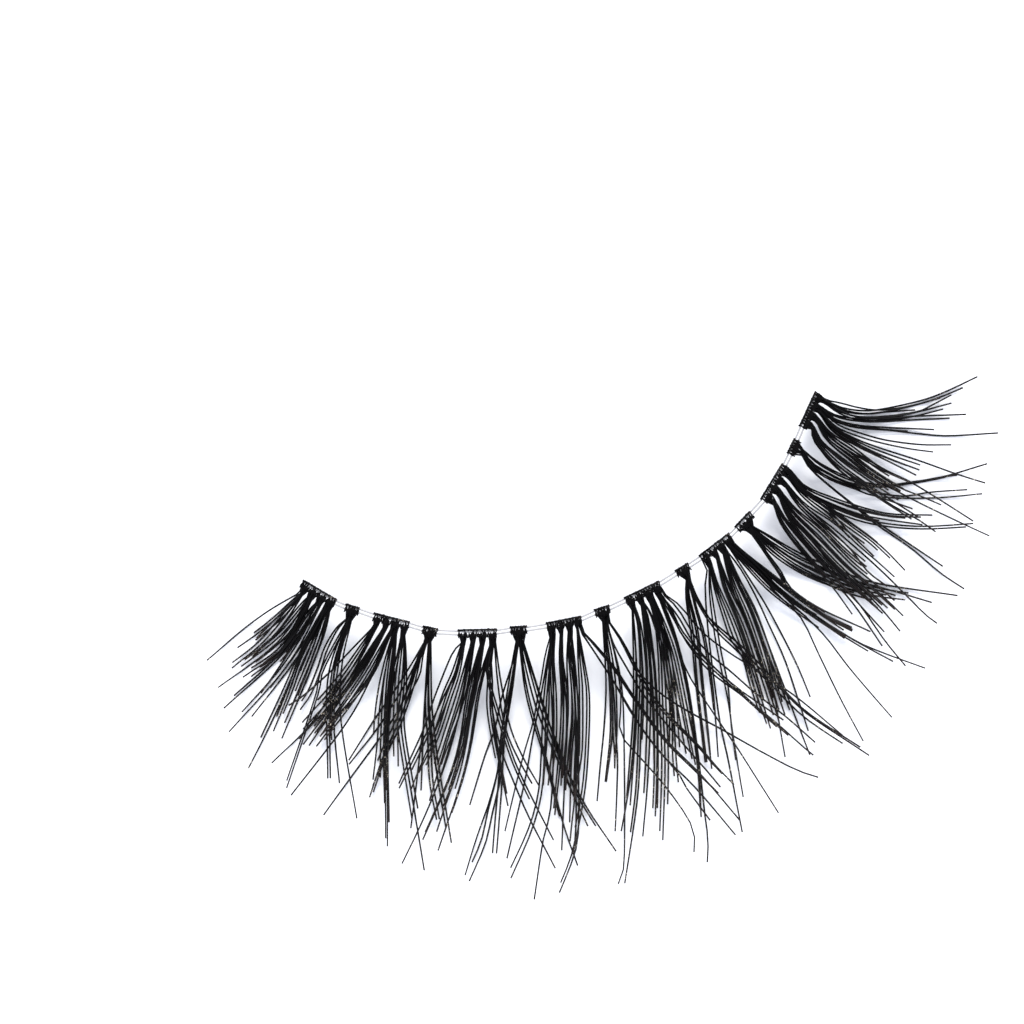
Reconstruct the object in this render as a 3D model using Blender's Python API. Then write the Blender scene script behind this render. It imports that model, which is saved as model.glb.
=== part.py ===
"""A false eyelash strip, lying as it rests by itself: curls down, band and lash tips a little raised.

Two fine clear threads carry fifteen knots of black fibre. Eight long knots hold four tufts each,
and seven short knots between them hold one tuft each. Every tuft fans out into locks of hair,
and each knot with its locks is one solid. The threads run through channels in the knots.
The shapes are worked out in millimetres, and each finished mesh is scaled to metres.
"""

import math
from collections import namedtuple

import bmesh
import bpy
from mathutils import Matrix, Vector

# Driving dimensions, in millimetres
BAND_LENGTH = 33.0            # along the band's back edge, from end to end
LEFT_HEIGHT = 1.9             # of a knot's middle over the surface, at the band's left end
MIDDLE_HEIGHT = 2.8
RIGHT_HEIGHT = 1.5
KNOT_DEPTH = 0.42             # from the flat back to the front of a knot's bar
KNOT_THICKNESS = 0.42
KNOT_EDGE = 0.05              # chamfer along the bar's edges
THREAD_DIAMETER = 0.08
ROUND_SIDES = 6               # of a thread, a channel and a funnel
CHANNEL_DIAMETER = 0.125      # leaves a gap of about 0.02 round each thread
INNER_THREAD_DEPTH = 0.115    # of a thread's middle, from a knot's flat back
OUTER_THREAD_DEPTH = 0.305
THREAD_OVERRUN = 0.06         # how far a thread's bend, or its end, lies outside a knot
NECK_DEPTH = 0.58             # from a knot's flat back to the waist of a tuft
FUNNEL_MOUTH = 0.48           # width of a tuft where it leaves the bar
NECK_WIDTH = 0.27
FUNNEL_FLATNESS = 0.75        # thickness of a funnel as a share of its width
FUNNEL_DROP = 0.10            # how much lower the waist is than the knot's middle
LOCK_START = 0.12             # how far inside its funnel a lock begins
BELLY = 0.68                  # share of a lock's length at which it comes down to its lowest point
LAYER_STEP = 0.44             # height between locks that cross one over the other
LAYER_RISE = 0.33             # share of a lock's length over which it climbs to its layer
TIP_SHARE = 0.35              # width of a lock's tip as a share of its widest place
FLATNESS = 0.55               # thickness of a lock as a share of its width
ROOT_SPREAD = 0.03            # between the roots of neighbouring locks in one tuft
THIN_LOCK = 0.16              # locks up to this width get four sides, and wider ones six
DRILL_OVERRUN = 0.5           # of the channel cutters, past a knot's ends
SHARP_ANGLE = 0.6             # radians; edges that turn more than this are shaded sharp
METRES = 0.001                # in a millimetre

# Chart of the strip seen from straight above. One chart unit is a pixel of a picture 1024 wide,
# x to the right and y down. The band's length in millimetres sets the unit's real size.
CHART_CENTRE = (602.4, 638.1)

Knot = namedtuple("Knot", "name tufts start end")
KNOTS = (
    Knot("long_lash_1", 4, (303, 581), (337, 601)),
    Knot("short_lash_1", 1, (346, 605), (360, 609)),
    Knot("long_lash_2", 4, (374, 614), (410, 623)),
    Knot("short_lash_2", 1, (423, 627), (438, 630)),
    Knot("long_lash_3", 4, (458, 631), (497, 630)),
    Knot("short_lash_3", 1, (510, 628), (527, 627)),
    Knot("long_lash_4", 4, (546, 624), (581, 617)),
    Knot("short_lash_4", 1, (594, 611), (609, 606)),
    Knot("long_lash_5", 4, (624, 599), (659, 582)),
    Knot("short_lash_5", 1, (675, 572), (688, 564)),
    Knot("long_lash_6", 4, (699, 557), (729, 534)),
    Knot("short_lash_6", 1, (735, 528), (750, 512)),
    Knot("long_lash_7", 4, (761, 500), (783, 464)),
    Knot("short_lash_7", 1, (788, 454), (795, 439)),
    Knot("long_lash_8", 4, (800, 427), (816, 392)),
)

# A row for each lock: the tuft it grows from, counted from the knot's left end, the chart places
# of its middle and its tip, its width in millimetres, and its layer, 0 for those that touch down.
Lock = namedtuple("Lock", "tuft middle tip width layer")
LOCKS = {
    "long_lash_1": (
        Lock(1, (272, 611), (207, 660), 0.10, 0),
        Lock(1, (270, 620), (238, 648), 0.30, 0),
        Lock(1, (268, 638), (232, 668), 0.24, 0),
        Lock(2, (277, 640), (243, 672), 0.36, 0),
        Lock(3, (283, 655), (223, 707), 0.22, 0),
        Lock(3, (288, 664), (227, 730), 0.16, 0),
        Lock(4, (293, 664), (250, 715), 0.26, 0),
        Lock(4, (303, 674), (248, 768), 0.30, 0),
        Lock(4, (310, 664), (281, 738), 0.34, 0),
    ),
    "short_lash_1": (
        Lock(1, (322, 660), (298, 708), 0.28, 0),
        Lock(1, (322, 690), (285, 787), 0.14, 1),
        Lock(1, (333, 692), (336, 781), 0.32, 1),
        Lock(1, (341, 715), (357, 818), 0.12, 2),
    ),
    "long_lash_2": (
        Lock(1, (342, 655), (289, 706), 0.12, 1),
        Lock(1, (340, 672), (302, 722), 0.36, 0),
        Lock(1, (332, 690), (272, 763), 0.14, 0),
        Lock(2, (353, 680), (303, 744), 0.38, 0),
        Lock(3, (366, 680), (318, 742), 0.38, 1),
        Lock(3, (366, 703), (292, 796), 0.12, 1),
        Lock(3, (386, 715), (383, 803), 0.32, 1),
        Lock(3, (386, 740), (386, 846), 0.16, 1),
        Lock(4, (385, 700), (371, 781), 0.24, 1),
        Lock(4, (397, 700), (395, 766), 0.24, 2),
        Lock(4, (402, 740), (425, 872), 0.22, 1),
    ),
    "short_lash_2": (
        Lock(1, (390, 696), (347, 758), 0.22, 0),
        Lock(1, (384, 722), (324, 815), 0.12, 0),
        Lock(1, (402, 712), (369, 797), 0.34, 0),
        Lock(1, (424, 725), (411, 828), 0.16, 0),
        Lock(1, (429, 725), (439, 819), 0.24, 0),
        Lock(1, (432, 738), (449, 843), 0.16, 0),
    ),
    "long_lash_3": (
        Lock(1, (437, 700), (399, 783), 0.14, 2),
        Lock(1, (444, 705), (417, 772), 0.42, 1),
        Lock(2, (456, 712), (430, 786), 0.42, 1),
        Lock(2, (448, 755), (402, 863), 0.14, 2),
        Lock(3, (464, 738), (424, 840), 0.36, 1),
        Lock(4, (474, 740), (437, 850), 0.28, 1),
        Lock(4, (492, 720), (507, 812), 0.34, 1),
        Lock(4, (505, 715), (537, 787), 0.14, 2),
        Lock(4, (507, 748), (555, 868), 0.14, 2),
    ),
    "short_lash_3": (
        Lock(1, (506, 715), (470, 805), 0.12, 0),
        Lock(1, (503, 755), (467, 880), 0.22, 0),
        Lock(1, (507, 740), (494, 853), 0.26, 0),
        Lock(1, (537, 745), (576, 866), 0.22, 0),
        Lock(1, (545, 728), (594, 827), 0.32, 0),
        Lock(1, (553, 738), (616, 851), 0.12, 0),
    ),
    "long_lash_4": (
        Lock(1, (537, 712), (505, 831), 0.12, 2),
        Lock(1, (543, 745), (509, 877), 0.22, 1),
        Lock(1, (551, 755), (534, 899), 0.20, 1),
        Lock(2, (562, 715), (556, 815), 0.38, 1),
        Lock(2, (564, 738), (560, 850), 0.20, 1),
        Lock(3, (575, 715), (569, 822), 0.42, 1),
        Lock(3, (577, 760), (558, 892), 0.20, 1),
        Lock(4, (583, 712), (574, 800), 0.32, 1),
        Lock(4, (589, 735), (571, 845), 0.16, 1),
        Lock(4, (642, 712), (718, 793), 0.30, 2),
        Lock(4, (650, 735), (735, 835), 0.14, 2),
    ),
    "short_lash_4": (
        Lock(1, (606, 710), (598, 801), 0.14, 0),
        Lock(1, (612, 702), (609, 782), 0.26, 0),
        Lock(1, (616, 725), (614, 831), 0.20, 0),
        Lock(1, (625, 750), (618, 884), 0.12, 0),
        Lock(1, (634, 747), (695, 852), 0.12, 1),
        Lock(1, (665, 715), (740, 820), 0.26, 1),
        Lock(1, (700, 716), (818, 777), 0.12, 1),
    ),
    "long_lash_5": (
        Lock(1, (635, 705), (628, 806), 0.32, 0),
        Lock(1, (640, 745), (624, 883), 0.22, 0),
        Lock(2, (648, 720), (641, 836), 0.24, 0),
        Lock(2, (652, 710), (653, 817), 0.28, 0),
        Lock(3, (663, 722), (664, 840), 0.26, 0),
        Lock(3, (668, 690), (679, 783), 0.38, 0),
        Lock(4, (683, 702), (701, 817), 0.36, 0),
        Lock(4, (689, 725), (709, 862), 0.12, 0),
        Lock(4, (719, 672), (788, 735), 0.28, 2),
        Lock(4, (754, 666), (860, 747), 0.12, 2),
    ),
    "short_lash_5": (
        Lock(1, (697, 672), (709, 768), 0.36, 0),
        Lock(1, (705, 665), (718, 757), 0.26, 1),
        Lock(1, (758, 660), (842, 735), 0.30, 1),
        Lock(1, (765, 674), (868, 757), 0.14, 1),
    ),
    "long_lash_6": (
        Lock(1, (711, 690), (742, 832), 0.14, 0),
        Lock(1, (722, 678), (743, 796), 0.20, 0),
        Lock(2, (741, 645), (768, 729), 0.36, 0),
        Lock(2, (735, 690), (778, 813), 0.12, 0),
        Lock(3, (752, 635), (778, 720), 0.44, 0),
        Lock(3, (757, 655), (785, 757), 0.12, 0),
        Lock(4, (768, 635), (809, 745), 0.24, 0),
        Lock(4, (786, 598), (845, 640), 0.44, 1),
        Lock(4, (820, 628), (925, 668), 0.22, 1),
        Lock(4, (811, 622), (892, 717), 0.12, 1),
        Lock(4, (796, 632), (863, 741), 0.12, 1),
    ),
    "short_lash_6": (
        Lock(1, (832, 572), (957, 598), 0.16, 0),
        Lock(1, (822, 577), (931, 605), 0.28, 0),
        Lock(1, (806, 577), (874, 594), 0.28, 0),
        Lock(1, (799, 598), (869, 634), 0.26, 0),
    ),
    "long_lash_7": (
        Lock(1, (810, 563), (852, 614), 0.36, 1),
        Lock(1, (822, 572), (882, 646), 0.22, 1),
        Lock(1, (836, 584), (905, 666), 0.14, 1),
        Lock(2, (832, 558), (899, 620), 0.46, 1),
        Lock(3, (834, 535), (877, 572), 0.38, 1),
        Lock(3, (853, 552), (937, 623), 0.16, 1),
        Lock(4, (835, 516), (890, 562), 0.38, 1),
        Lock(4, (845, 518), (905, 570), 0.20, 1),
        Lock(4, (850, 504), (932, 516), 0.28, 1),
        Lock(4, (866, 520), (973, 525), 0.16, 1),
    ),
    "short_lash_7": (
        Lock(1, (886, 486), (987, 464), 0.22, 0),
        Lock(1, (872, 495), (982, 494), 0.12, 0),
        Lock(1, (859, 508), (943, 566), 0.22, 0),
        Lock(1, (864, 518), (964, 590), 0.14, 0),
    ),
    "long_lash_8": (
        Lock(1, (860, 485), (935, 532), 0.34, 2),
        Lock(2, (862, 462), (908, 493), 0.38, 1),
        Lock(2, (890, 471), (974, 521), 0.18, 1),
        Lock(2, (890, 482), (989, 536), 0.12, 1),
        Lock(3, (868, 440), (921, 468), 0.38, 1),
        Lock(3, (896, 453), (985, 484), 0.16, 1),
        Lock(3, (880, 439), (952, 445), 0.22, 1),
        Lock(4, (885, 410), (978, 378), 0.28, 0),
        Lock(4, (882, 415), (951, 397), 0.16, 0),
        Lock(4, (887, 420), (967, 417), 0.26, 0),
        Lock(4, (876, 427), (935, 430), 0.24, 0),
        Lock(4, (893, 431), (998, 433), 0.12, 0),
    ),
}

# Shares of a lock's length at which it has a section, and its width there as a share of its widest
Section = namedtuple("Section", "along width")
SECTIONS = (
    Section(0.20, 0.90),
    Section(0.44, 1.00),
    Section(BELLY, 0.80),
    Section(1.00, TIP_SHARE),
)


def chart_unit():
    """The real length of one chart unit, from the band's length on the chart."""
    corners = [Vector(place) for knot in KNOTS for place in (knot.start, knot.end)]
    charted = sum((b - a).length for a, b in zip(corners, corners[1:]))
    return BAND_LENGTH / charted


UNIT = chart_unit()


def on_plan(place):
    """A chart place as millimetres in the part's frame, x to the right and y up the picture."""
    x = (place[0] - CHART_CENTRE[0]) * UNIT
    y = (CHART_CENTRE[1] - place[1]) * UNIT
    return Vector((x, y, 0.0))


BAND_LEFT = on_plan(KNOTS[0].start).x
BAND_RIGHT = on_plan(KNOTS[-1].end).x


def band_height(x):
    """Height of the band's middle over the surface: a shallow arch between its two ends."""
    share = (x - BAND_LEFT) / (BAND_RIGHT - BAND_LEFT)
    straight = LEFT_HEIGHT + (RIGHT_HEIGHT - LEFT_HEIGHT) * share
    rise = MIDDLE_HEIGHT - (LEFT_HEIGHT + RIGHT_HEIGHT) / 2
    return straight + 4 * rise * share * (1 - share)


def on_band(place):
    """A chart place on the band's back edge, raised to the band's height there."""
    point = on_plan(place)
    point.z = band_height(point.x)
    return point


def knot_frame(knot):
    """Matrix of a knot: x along the band, y back from the lashes, z up, from its left end."""
    start = on_band(knot.start)
    along = (on_band(knot.end) - start).normalized()
    back = Vector((-along.y, along.x, 0.0)).normalized()
    up = along.cross(back)
    turned = Matrix((along, back, up)).transposed().to_4x4()
    return Matrix.Translation(start) @ turned


def knot_length(knot):
    return (on_band(knot.end) - on_band(knot.start)).length


def tuft_place(knot, tuft, depth, drop):
    """A point on a tuft's middle line, so deep in front of the knot's flat back."""
    along = (tuft - 0.5) / knot.tufts * knot_length(knot)
    return knot_frame(knot) @ Vector((along, -depth, -drop))


def added(name, mesh, collection):
    piece = bpy.data.objects.new(name, mesh)
    collection.objects.link(piece)
    return piece


def mesh_of(name, shape):
    """The mesh of a bmesh, which is freed."""
    bmesh.ops.recalc_face_normals(shape, faces=shape.faces)
    mesh = bpy.data.meshes.new(name)
    shape.to_mesh(mesh)
    shape.free()
    return mesh


def outline(name, sides, flatness):
    """A flattened round outline of radius 1, for a curve's bevel."""
    curve = bpy.data.curves.new(name, "CURVE")
    curve.dimensions = "2D"
    spline = curve.splines.new("POLY")
    spline.points.add(sides - 1)
    spline.use_cyclic_u = True
    for number, knob in enumerate(spline.points):
        angle = 2 * math.pi * number / sides
        knob.co = (math.cos(angle), flatness * math.sin(angle), 0.0, 1.0)
    return added(name, curve, bpy.context.scene.collection)


def tube_mesh(name, points, radii, sides, flatness=1.0):
    """A closed tube through the points, its section kept level, as a mesh with welded caps."""
    section = outline("section", sides, flatness)
    curve = bpy.data.curves.new(name, "CURVE")
    curve.dimensions = "3D"
    curve.twist_mode = "Z_UP"
    curve.bevel_mode = "OBJECT"
    curve.bevel_object = section
    curve.use_fill_caps = True
    spline = curve.splines.new("POLY")
    spline.points.add(len(points) - 1)
    for knob, point, radius in zip(spline.points, points, radii):
        knob.co = (*point, 1.0)
        knob.radius = radius
    guide = added(name, curve, bpy.context.scene.collection)
    evaluated = guide.evaluated_get(bpy.context.evaluated_depsgraph_get())
    mesh = bpy.data.meshes.new_from_object(evaluated)
    for helper in (guide, section):
        outlines = helper.data
        bpy.data.objects.remove(helper)
        bpy.data.curves.remove(outlines)
    shape = bmesh.new()
    shape.from_mesh(mesh)
    bpy.data.meshes.remove(mesh)
    bmesh.ops.remove_doubles(shape, verts=shape.verts, dist=1e-4)
    return mesh_of(name, shape)


def bar_mesh(knot):
    """The knot's bar: a box with chamfered long edges and a flat back."""
    length = knot_length(knot)
    size = Matrix.Diagonal((length, KNOT_DEPTH, KNOT_THICKNESS, 1.0))
    centre = Matrix.Translation((length / 2, -KNOT_DEPTH / 2, 0.0))
    shape = bmesh.new()
    bmesh.ops.create_cube(shape, size=1.0, matrix=knot_frame(knot) @ centre @ size)
    along = knot_frame(knot).to_3x3().col[0]
    long_edges = []
    for edge in shape.edges:
        run = edge.verts[1].co - edge.verts[0].co
        if abs(run.normalized().dot(along)) > 0.99:
            long_edges.append(edge)
    bmesh.ops.bevel(shape, geom=long_edges, offset=KNOT_EDGE, segments=1, affect="EDGES")
    return mesh_of("bar", shape)


def funnel_mesh(knot, tuft):
    """The fibre of one tuft gathered from the bar to its waist, as a flattened cone."""
    mouth = tuft_place(knot, tuft, KNOT_DEPTH - KNOT_EDGE, 0.0)
    waist = tuft_place(knot, tuft, NECK_DEPTH, FUNNEL_DROP)
    run = waist - mouth
    turned = run.to_track_quat("Z", "Y").to_matrix().to_4x4()
    flattened = Matrix.Diagonal((1.0, FUNNEL_FLATNESS, 1.0, 1.0))
    shape = bmesh.new()
    bmesh.ops.create_cone(
        shape,
        cap_ends=True,
        segments=ROUND_SIDES,
        radius1=FUNNEL_MOUTH / 2,
        radius2=NECK_WIDTH / 2,
        depth=run.length,
        matrix=Matrix.Translation((mouth + waist) / 2) @ turned @ flattened,
    )
    return mesh_of("funnel", shape)


def flatness_of(lock):
    return 1.0 if lock.width <= THIN_LOCK else FLATNESS


def lock_points(knot, lock, spread):
    """A lock's middle line: a curve on plan through its chart places, dipping to its belly."""
    waist = tuft_place(knot, lock.tuft, NECK_DEPTH, FUNNEL_DROP)
    across = knot_frame(knot).to_3x3().col[0] * spread
    start = tuft_place(knot, lock.tuft, NECK_DEPTH - LOCK_START, FUNNEL_DROP / 2) + across
    middle = on_plan(lock.middle)
    tip = on_plan(lock.tip)
    pull = 2 * middle - (waist + tip) / 2
    lowest = lock.width / 2 * SECTIONS[-2].width * flatness_of(lock)
    points = [start]
    for section in SECTIONS:
        t = section.along
        point = (1 - t) ** 2 * waist + 2 * t * (1 - t) * pull + t ** 2 * tip
        dip = (1 - t / BELLY) ** 2 * (waist.z - lowest)
        layer = lock.layer * LAYER_STEP * min(1.0, t / LAYER_RISE)
        point.z = lowest + dip + layer
        points.append(point)
    return points


def lock_mesh(knot, lock, spread):
    points = lock_points(knot, lock, spread)
    neck = min(NECK_WIDTH / 3, lock.width / 2)
    radii = [neck] + [section.width * lock.width / 2 for section in SECTIONS]
    sides = 4 if lock.width <= THIN_LOCK else 6
    return tube_mesh("lock", points, radii, sides, flatness_of(lock))


def drill_mesh(knot, depth):
    """A cutter through the whole knot along one thread."""
    length = knot_length(knot)
    quarter_turn = Matrix.Rotation(math.pi / 2, 4, "Y")
    centre = Matrix.Translation((length / 2, -depth, 0.0))
    shape = bmesh.new()
    bmesh.ops.create_cone(
        shape,
        cap_ends=True,
        segments=ROUND_SIDES,
        radius1=CHANNEL_DIAMETER / 2,
        radius2=CHANNEL_DIAMETER / 2,
        depth=length + 2 * DRILL_OVERRUN,
        matrix=knot_frame(knot) @ centre @ quarter_turn,
    )
    return mesh_of("drill", shape)


def boolean(piece, collection, operation):
    modifier = piece.modifiers.new(operation.lower(), "BOOLEAN")
    modifier.operand_type = "COLLECTION"
    modifier.collection = collection
    modifier.operation = operation
    modifier.solver = "EXACT"


def emptied(collection):
    for piece in list(collection.objects):
        bpy.data.objects.remove(piece)


def lash(knot, pieces, cutters, assembly, material):
    """One node: a knot's bar, funnels and locks fused, with its two thread channels drilled."""
    bar = added("bar", bar_mesh(knot), bpy.context.scene.collection)
    for tuft in range(1, knot.tufts + 1):
        added("funnel", funnel_mesh(knot, tuft), pieces)
        grown = [lock for lock in LOCKS[knot.name] if lock.tuft == tuft]
        for place, lock in enumerate(grown):
            spread = ROOT_SPREAD * (place - (len(grown) - 1) / 2)
            added("lock", lock_mesh(knot, lock, spread), pieces)
    for depth in (INNER_THREAD_DEPTH, OUTER_THREAD_DEPTH):
        added("drill", drill_mesh(knot, depth), cutters)
    boolean(bar, pieces, "UNION")
    boolean(bar, cutters, "DIFFERENCE")
    evaluated = bar.evaluated_get(bpy.context.evaluated_depsgraph_get())
    mesh = bpy.data.meshes.new_from_object(evaluated)
    bpy.data.objects.remove(bar)
    emptied(pieces)
    emptied(cutters)
    finished(knot.name, mesh, assembly, material)


def finished(name, mesh, assembly, material):
    """A node from a mesh in millimetres: scaled to metres, with its material and smooth shading."""
    mesh.transform(Matrix.Scale(METRES, 4))
    mesh.name = name
    mesh.materials.clear()
    mesh.materials.append(material)
    mesh.shade_smooth()
    mesh.set_sharp_from_angle(angle=SHARP_ANGLE)
    return added(name, mesh, assembly)


def thread(name, depth, assembly, material):
    """One clear thread, straight inside each knot and bending just outside it."""
    points = []
    for knot in KNOTS:
        frame = knot_frame(knot)
        points.append(frame @ Vector((-THREAD_OVERRUN, -depth, 0.0)))
        points.append(frame @ Vector((knot_length(knot) + THREAD_OVERRUN, -depth, 0.0)))
    radii = [THREAD_DIAMETER / 2] * len(points)
    finished(name, tube_mesh(name, points, radii, ROUND_SIDES), assembly, material)


def plain_material(name, colour, roughness, clearness):
    material = bpy.data.materials.new(name)
    material.use_nodes = True
    shader = material.node_tree.nodes["Principled BSDF"]
    shader.inputs["Base Color"].default_value = (*colour, 1.0)
    shader.inputs["Metallic"].default_value = 0.0
    shader.inputs["Roughness"].default_value = roughness
    shader.inputs["Transmission Weight"].default_value = clearness
    return material


def main():
    for old in list(bpy.data.objects):
        bpy.data.objects.remove(old)
    assembly = bpy.data.collections.new("false_eyelash_strip")
    pieces = bpy.data.collections.new("pieces")
    cutters = bpy.data.collections.new("cutters")
    for collection in (assembly, pieces, cutters):
        bpy.context.scene.collection.children.link(collection)
    fibre = plain_material("black_lash_fibre", (0.010, 0.009, 0.010), 0.35, 0.0)
    clear = plain_material("clear_thread", (0.90, 0.90, 0.90), 0.20, 0.8)
    for knot in KNOTS:
        lash(knot, pieces, cutters, assembly, fibre)
    thread("inner_thread", INNER_THREAD_DEPTH, assembly, clear)
    thread("outer_thread", OUTER_THREAD_DEPTH, assembly, clear)
    for spare in (pieces, cutters):
        bpy.data.collections.remove(spare)


main()
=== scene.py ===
# %% [markdown]
# This lesson dresses a false eyelash strip: black fibres tied with small knots round two clear
# threads, lying curls down on a white table and seen from straight above. The solids of the strip
# are already there and carry its weight. Each step below puts the real thing in the place of one
# of them: the fibres one by one, the knots, the threads, and at last the light of the studio.

# %% Load the strip's solids
import math
import random
from collections import namedtuple

import bpy
from mathutils import Matrix, Vector


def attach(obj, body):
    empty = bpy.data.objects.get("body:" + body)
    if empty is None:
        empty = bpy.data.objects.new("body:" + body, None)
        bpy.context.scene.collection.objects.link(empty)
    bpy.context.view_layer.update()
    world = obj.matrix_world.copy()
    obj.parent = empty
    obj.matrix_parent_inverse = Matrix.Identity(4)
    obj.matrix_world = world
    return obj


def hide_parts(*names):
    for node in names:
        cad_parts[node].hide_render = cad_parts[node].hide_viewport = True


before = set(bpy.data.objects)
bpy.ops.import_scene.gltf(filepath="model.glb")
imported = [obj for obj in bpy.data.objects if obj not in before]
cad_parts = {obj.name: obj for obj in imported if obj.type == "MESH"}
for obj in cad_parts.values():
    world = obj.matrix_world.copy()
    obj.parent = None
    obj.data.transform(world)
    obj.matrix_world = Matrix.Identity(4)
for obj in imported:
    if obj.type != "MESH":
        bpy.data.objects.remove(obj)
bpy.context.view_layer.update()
print("solids:", sorted(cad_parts))

# %% [markdown]
# A map comes first. The strip was charted from its picture, so a place on it is given as a chart
# place: x to the right and y down, in units of which 1024 make the picture's width. The band is
# 33 mm long, and that sets the size of a unit. The same two corners of each knot, and the same
# arch of the band over the table, are used in the solids, so all that follows lies where they lie.

# %% The chart of the band
MM = 0.001
BAND_LENGTH = 33.0
CHART_CENTRE = (602.4, 638.1)
PICTURE_SIDE = 1024
LEFT_HEIGHT = 1.9
MIDDLE_HEIGHT = 2.8
RIGHT_HEIGHT = 1.5

Knot = namedtuple("Knot", "name tufts start end")
KNOTS = (
    Knot("long_lash_1", 4, (303, 581), (337, 601)),
    Knot("short_lash_1", 1, (346, 605), (360, 609)),
    Knot("long_lash_2", 4, (374, 614), (410, 623)),
    Knot("short_lash_2", 1, (423, 627), (438, 630)),
    Knot("long_lash_3", 4, (458, 631), (497, 630)),
    Knot("short_lash_3", 1, (510, 628), (527, 627)),
    Knot("long_lash_4", 4, (546, 624), (581, 617)),
    Knot("short_lash_4", 1, (594, 611), (609, 606)),
    Knot("long_lash_5", 4, (624, 599), (659, 582)),
    Knot("short_lash_5", 1, (675, 572), (688, 564)),
    Knot("long_lash_6", 4, (699, 557), (729, 534)),
    Knot("short_lash_6", 1, (735, 528), (750, 512)),
    Knot("long_lash_7", 4, (761, 500), (783, 464)),
    Knot("short_lash_7", 1, (788, 454), (795, 439)),
    Knot("long_lash_8", 4, (800, 427), (816, 392)),
)

corners = [Vector(place) for knot in KNOTS for place in (knot.start, knot.end)]
UNIT = BAND_LENGTH / sum((b - a).length for a, b in zip(corners, corners[1:]))
print("one chart unit is", round(UNIT, 5), "mm")


def on_plan(place):
    """A chart place as millimetres in the strip's frame, at height 0."""
    x = (place[0] - CHART_CENTRE[0]) * UNIT
    y = (CHART_CENTRE[1] - place[1]) * UNIT
    return Vector((x, y, 0.0))


BAND_LEFT = on_plan(KNOTS[0].start).x
BAND_RIGHT = on_plan(KNOTS[-1].end).x


def on_band(place):
    """A chart place on the band's back edge, raised to the arch of the band."""
    point = on_plan(place)
    share = (point.x - BAND_LEFT) / (BAND_RIGHT - BAND_LEFT)
    rise = MIDDLE_HEIGHT - (LEFT_HEIGHT + RIGHT_HEIGHT) / 2
    point.z = LEFT_HEIGHT + (RIGHT_HEIGHT - LEFT_HEIGHT) * share + 4 * rise * share * (1 - share)
    return point


def knot_frame(knot):
    """Matrix of a knot in millimetres: x along the band, y back from the lashes, z up."""
    start = on_band(knot.start)
    along = (on_band(knot.end) - start).normalized()
    back = Vector((-along.y, along.x, 0.0)).normalized()
    turned = Matrix((along, back, along.cross(back))).transposed().to_4x4()
    return Matrix.Translation(start) @ turned


def knot_length(knot):
    return (on_band(knot.end) - on_band(knot.start)).length


for knot in KNOTS:
    print(knot.name, round(knot_length(knot), 2), "mm long")

# %% [markdown]
# The picture was taken from straight above with a long lens, so the camera looks down at the
# middle of the chart. With a lens of 900 mm on a sensor 36 mm wide, it stands where its view is
# as wide as the chart. The table is one big white plane and isn't part of the strip. Standard
# colours are chosen, because a filmic look would turn the white table grey.

# %% Camera and table
LENS = 900.0
SENSOR = 36.0
picture_width = PICTURE_SIDE * UNIT * MM
picture_middle = on_plan((PICTURE_SIDE / 2, PICTURE_SIDE / 2)) * MM
distance = picture_width * LENS / SENSOR
bpy.ops.object.camera_add(location=(picture_middle.x, picture_middle.y, distance))
camera = bpy.context.object
camera.name = "camera"
camera.data.lens = LENS
camera.data.sensor_width = SENSOR
camera.data.clip_start = 0.01
camera.data.clip_end = 10.0
bpy.context.scene.camera = camera
bpy.context.scene.view_settings.view_transform = "Standard"
print("camera", round(distance * 1000), "mm up, view", round(picture_width * 1000, 2), "mm wide")

TABLE_SIDE = 1.2
bpy.ops.mesh.primitive_plane_add(size=TABLE_SIDE, location=(0, 0, 0))
table = bpy.context.object
table.name = "table"

# %% [markdown]
# Every finish below is a small tree of nodes. Two helpers keep them short. One turns a colour
# written as sRGB hex into the linear numbers Blender computes with. The other adds a node, sets
# its values and draws its links in one call.

# %% Helpers for finishes


def linear(hex_colour):
    """An sRGB colour such as "a0b1c2" as linear red, green, blue and alpha."""
    parts = [int(hex_colour[i:i + 2], 16) / 255 for i in (0, 2, 4)]
    shares = [c / 12.92 if c <= 0.04045 else ((c + 0.055) / 1.055) ** 2.4 for c in parts]
    return (*shares, 1.0)


def add_node(tree, kind, settings=None, links=None):
    """A new node. Settings and links are named by its sockets or, where names repeat, numbered."""
    made = tree.nodes.new(kind)
    for name, value in (settings or {}).items():
        if isinstance(name, int) or name in made.inputs:
            made.inputs[name].default_value = value
        else:
            setattr(made, name, value)
    for name, source in (links or {}).items():
        tree.links.new(source, made.inputs[name])
    return made


def new_material(name):
    """A material with an empty tree but for its shader and its output."""
    material = bpy.data.materials.new(name)
    material.use_nodes = True
    return material, material.node_tree, material.node_tree.nodes["Principled BSDF"]


def ramp_colours(ramp_node, stops):
    """Sets a colour ramp's stops from (position, hex colour) pairs."""
    elements = ramp_node.color_ramp.elements
    while len(elements) > 1:
        elements.remove(elements[-1])
    elements[0].position, elements[0].color = stops[0][0], linear(stops[0][1])
    for position, colour in stops[1:]:
        elements.new(position).color = linear(colour)


# %% [markdown]
# The table is matt white laminate. Its colour is one smooth white with a breath of unevenness,
# too slight to see, so that the soft shadows of the fibres are all that shows on it.

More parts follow.
